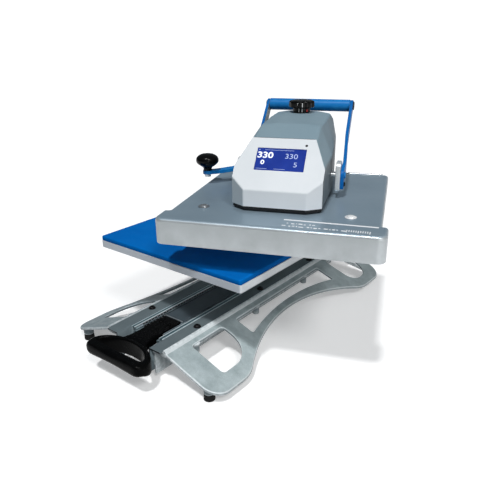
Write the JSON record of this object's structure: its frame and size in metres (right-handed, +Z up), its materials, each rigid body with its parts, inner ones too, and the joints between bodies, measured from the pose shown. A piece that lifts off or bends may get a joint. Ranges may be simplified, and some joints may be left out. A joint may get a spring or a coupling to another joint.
{
  "type": "swing-away heat press",
  "caption": "Bench heat press with a heated upper platen on a swing-away head, a padded lower platen on a pull-out drawer, a console and a pull-down handle.",
  "frame": {"origin": "middle of the footprint at floor level, with the head swung aside as at rest", "axes": "+X to the operator's right, +Y to the back along the rails, +Z up"},
  "size_m": [0.647, 0.822, 0.5112],
  "materials": {
    "cast_grey": "satin cast finish",
    "cast_iron": "dark machined casting",
    "rail_dark": "dark powder coat",
    "screw_black": "black oxide",
    "rubber_black": "matt moulded",
    "zinc": "bright zinc",
    "black_gloss": "gloss moulded",
    "black_matte": "matt moulded",
    "platen_aluminium": "milled",
    "pad_blue": "fine matt silicone",
    "cover_silver": "satin painted sheet",
    "bezel_grey": "fine texture",
    "shell_grey": "fine texture",
    "screen_blue": "backlit blue",
    "board_green": "solder mask",
    "handle_blue": "blue powder coat",
    "bright_steel": "plated",
    "steel": "turned",
    "bronze": "turned bearing bronze"
  },
  "bodies": {
    "base": {"wing_right": "cast_grey", "wing_left": "cast_grey", "rail_right": "rail_dark", "rail_left": "rail_dark", "rail_screw_right_1": "screw_black", "rail_screw_right_2": "screw_black", "rail_screw_right_3": "screw_black", "rail_screw_left_1": "screw_black", "rail_screw_left_2": "screw_black", "rail_screw_left_3": "screw_black", "foot_front_right": "rubber_black", "foot_front_left": "rubber_black", "foot_rear_right": "rubber_black", "foot_rear_left": "rubber_black", "slide_outer_right": "zinc", "slide_outer_left": "zinc", "column_casting": "cast_iron", "column_post": "steel"},
    "slide_mid": {"slide_mid_right": "zinc", "slide_mid_left": "zinc"},
    "drawer": {"slide_inner_right": "zinc", "slide_inner_left": "zinc", "carriage_plate": "rail_dark", "draw_handle": "black_gloss", "pedestal": "cast_grey", "lower_plate": "platen_aluminium", "silicone_pad": "pad_blue"},
    "head": {"swing_arm": "cast_iron", "hub_cap": "black_matte", "hub_bush": "bronze", "shaft_bush_right": "bronze", "shaft_bush_left": "bronze", "base_tray": "black_matte", "console_bezel": "bezel_grey", "rear_cover": "shell_grey", "screen": "screen_blue", "control_board": "board_green", "swing_bar": "handle_blue", "swing_knob": "black_gloss", "swing_nut": "steel", "mains_inlet": "black_matte"},
    "power_switch": {"power_switch": "black_matte"},
    "handle": {"cross_shaft": "bright_steel", "handle_arm_right": "handle_blue", "handle_arm_left": "handle_blue", "grip_tube": "handle_blue", "cam_plate": "steel", "handle_hub_right": "bright_steel", "handle_hub_left": "bright_steel"},
    "platen": {"heat_plate": "platen_aluminium", "platen_cover": "cover_silver", "heating_element": "steel", "platen_carrier": "cast_iron", "follower_pin": "bright_steel", "cover_bolt_right": "bright_steel", "cover_bolt_left": "bright_steel"},
    "pressure_knob": {"pressure_knob": "black_gloss", "pressure_screw": "steel"},
    "pressure_nut": {"pressure_nut": "bronze"}
  },
  "joints": [
    {"name": "drawer_slide", "type": "slide", "parent": "base", "child": "drawer", "axis": [0, -1, 0], "range_m": [0, 0.3]},
    {"name": "mid_slide", "type": "slide", "parent": "base", "child": "slide_mid", "axis": [0, -1, 0], "range_m": [0, 0.1502]},
    {"name": "head_swing", "type": "hinge", "parent": "base", "child": "head", "pos_m": [-0.10552, 0.352, 0.36], "axis": [0, 0, 1], "range_deg": [-22.21, 67.79]},
    {"name": "handle_pull", "type": "hinge", "parent": "head", "child": "handle", "pos_m": [0.04379, -0.01369, 0.376], "axis": [0.9258, 0.378, 0], "range_deg": [0, 125]},
    {"name": "platen_drop", "type": "slide", "parent": "head", "child": "platen", "axis": [0, 0, -1], "range_m": [0, 0.04702]},
    {"name": "knob_turn", "type": "hinge", "parent": "head", "child": "pressure_knob", "pos_m": [-0.00649, 0.10944, 0.4844], "axis": [0, 0, 1], "range_deg": [-720, 720]},
    {"name": "nut_travel", "type": "slide", "parent": "head", "child": "pressure_nut", "axis": [0, 0, 1], "range_m": [-0.00402, 0.00402]},
    {"name": "switch_rock", "type": "hinge", "parent": "head", "child": "power_switch", "pos_m": [-0.07878, 0.14365, 0.378], "axis": [-0.9258, -0.378, 0], "range_deg": [0, 14]}
  ],
  "couplings": [
    {"joint": "mid_slide", "follows": "drawer_slide", "ratio": 0.5},
    {"joint": "platen_drop", "follows": "handle_pull", "m_per_rad": 0.021543},
    {"joint": "nut_travel", "follows": "knob_turn", "m_per_rad": 0.00031831}
  ]
}
